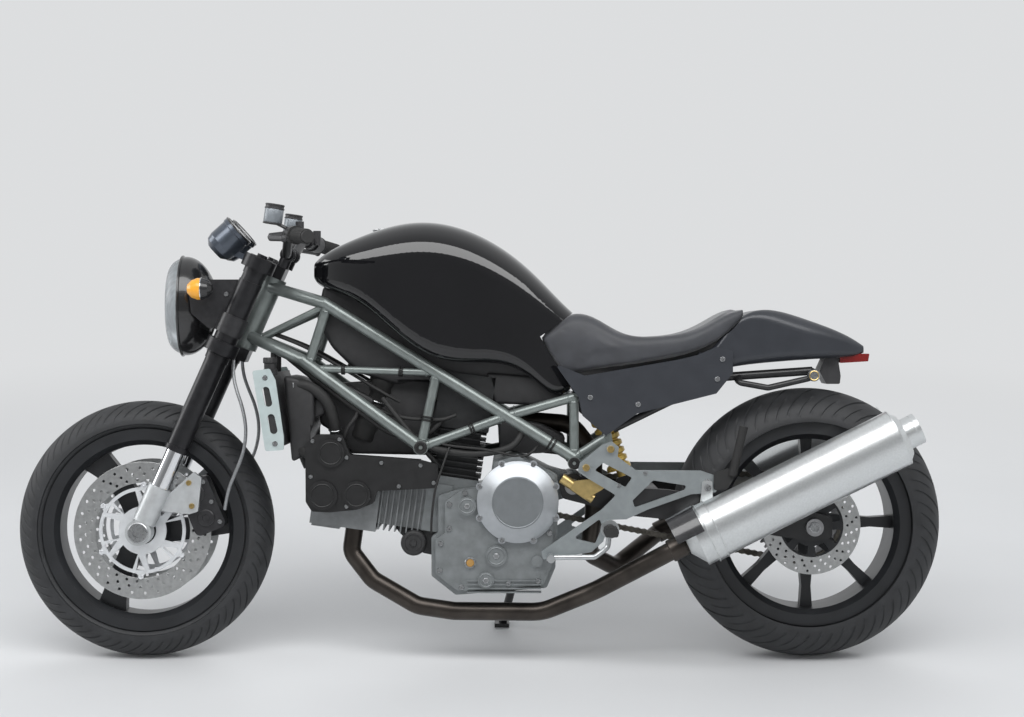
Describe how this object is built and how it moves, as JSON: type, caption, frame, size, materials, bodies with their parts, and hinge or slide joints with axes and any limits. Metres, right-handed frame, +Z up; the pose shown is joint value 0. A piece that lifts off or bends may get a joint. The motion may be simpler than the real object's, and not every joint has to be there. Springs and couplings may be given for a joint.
{
  "type": "roadster motorcycle",
  "caption": "Unfaired roadster motorcycle with an open tube frame, L-twin engine, solo seat and cowl, leaning on its side stand.",
  "frame": {"origin": "on the ground, under the middle of the parked machine's overall box", "axes": "+X towards the rear wheel, +Z up, -Y the side with the clutch cover; the machine leans towards +Y on its side stand"},
  "size_m": [2.1658, 0.766, 1.0736],
  "materials": {
    "gloss_black_paint": "deep gloss",
    "satin_dark_paint": "satin",
    "frame_paint": "grey metallic satin",
    "seat_cover": "matte, fine grain",
    "cast_engine": "cast, grey paint",
    "cylinder_casting": "cast, dark",
    "cover_satin": "satin",
    "cover_black": "fine texture",
    "burnt_steel": "heat-browned",
    "brushed_aluminium": "brushed",
    "carbon": "clear-coated weave",
    "pale_plate": "bead blasted",
    "radiator_black": "matte",
    "rearset_grey": "satin",
    "black_rubber": "matte",
    "tyre_rubber": "matte",
    "wheel_black": "satin",
    "fork_black": "satin anodised",
    "fork_grey": "cast satin",
    "chrome": "polished",
    "disc_steel": "ground",
    "carrier_silver": "satin",
    "black_parts": "satin",
    "gold_anodised": "satin gold",
    "steel": "plain",
    "chain_steel": "oiled",
    "gauge_silver": "blue-grey metallic",
    "lamp_glass": "clear",
    "indicator_shell": "amber and black",
    "red_lens": "clear red",
    "hose_braid": "braided steel"
  },
  "bodies": {
    "chassis": {"frame_near": "frame_paint", "frame_far": "frame_paint", "head_tube": "frame_paint", "tail_frame": "black_parts", "fuel_tank": "gloss_black_paint", "seat_pad": "seat_cover", "tail_cowl": "satin_dark_paint", "crankcase": "cast_engine", "clutch_cover": "cover_satin", "belt_covers": "cover_black", "front_cylinder": "cylinder_casting", "rear_cylinder": "cylinder_casting", "header_pipes": "burnt_steel", "silencers": "brushed_aluminium", "heat_shields": "carbon", "radiator": "radiator_black", "radiator_plates": "pale_plate", "rearset_plates": "rearset_grey", "foot_pegs": "black_rubber", "foot_pedals": "rearset_grey", "rear_master_cylinder": "gold_anodised", "swingarm": "black_parts", "pivot_shaft": "steel", "rear_axle": "steel", "shock_absorber": "gold_anodised", "rear_caliper": "black_parts", "chain": "chain_steel", "drive_sprocket": "steel", "sprocket_cover": "cover_black", "tail_light": "red_lens", "plate_bracket": "cover_black"},
    "steering": {"fork_feet": "fork_grey", "fork_stanchions": "chrome", "fork_tubes": "fork_black", "lower_yoke": "fork_black", "upper_yoke": "fork_black", "handlebar": "black_parts", "hand_controls": "black_parts", "grips": "black_rubber", "gauges": "gauge_silver", "headlight_shell": "black_parts", "headlight_lens": "lamp_glass", "headlight_brackets": "cover_black", "indicators": "indicator_shell", "front_calipers": "black_parts", "brake_hose_near": "hose_braid", "brake_hose_far": "hose_braid", "front_axle": "steel"},
    "front_wheel": {"front_tyre": "tyre_rubber", "front_rim": "wheel_black", "front_discs": "disc_steel", "front_carriers": "carrier_silver"},
    "rear_wheel": {"rear_tyre": "tyre_rubber", "rear_rim": "wheel_black", "rear_disc": "disc_steel", "rear_sprocket": "steel"},
    "side_stand": {"side_stand": "black_parts"}
  },
  "joints": [
    {"name": "steering", "type": "hinge", "parent": "chassis", "child": "steering", "pos_m": [-0.52375, -0.0234, 0.79933], "axis": [0.4067, 0.1429, 0.9023], "range_deg": [-28, 28]},
    {"name": "front_wheel_spin", "type": "hinge", "parent": "steering", "child": "front_wheel", "pos_m": [-0.783, -0.10295, 0.29707], "axis": [0, 0.9877, -0.1564], "continuous": true},
    {"name": "rear_wheel_spin", "type": "hinge", "parent": "chassis", "child": "rear_wheel", "pos_m": [0.768, -0.10054, 0.31225], "axis": [0, 0.9877, -0.1564], "continuous": true},
    {"name": "side_stand_fold", "type": "hinge", "parent": "chassis", "child": "side_stand", "pos_m": [0.097, 0.00808, 0.19264], "axis": [0.0993, -0.9054, -0.4127], "range_deg": [0, 107.6]}
  ]
}
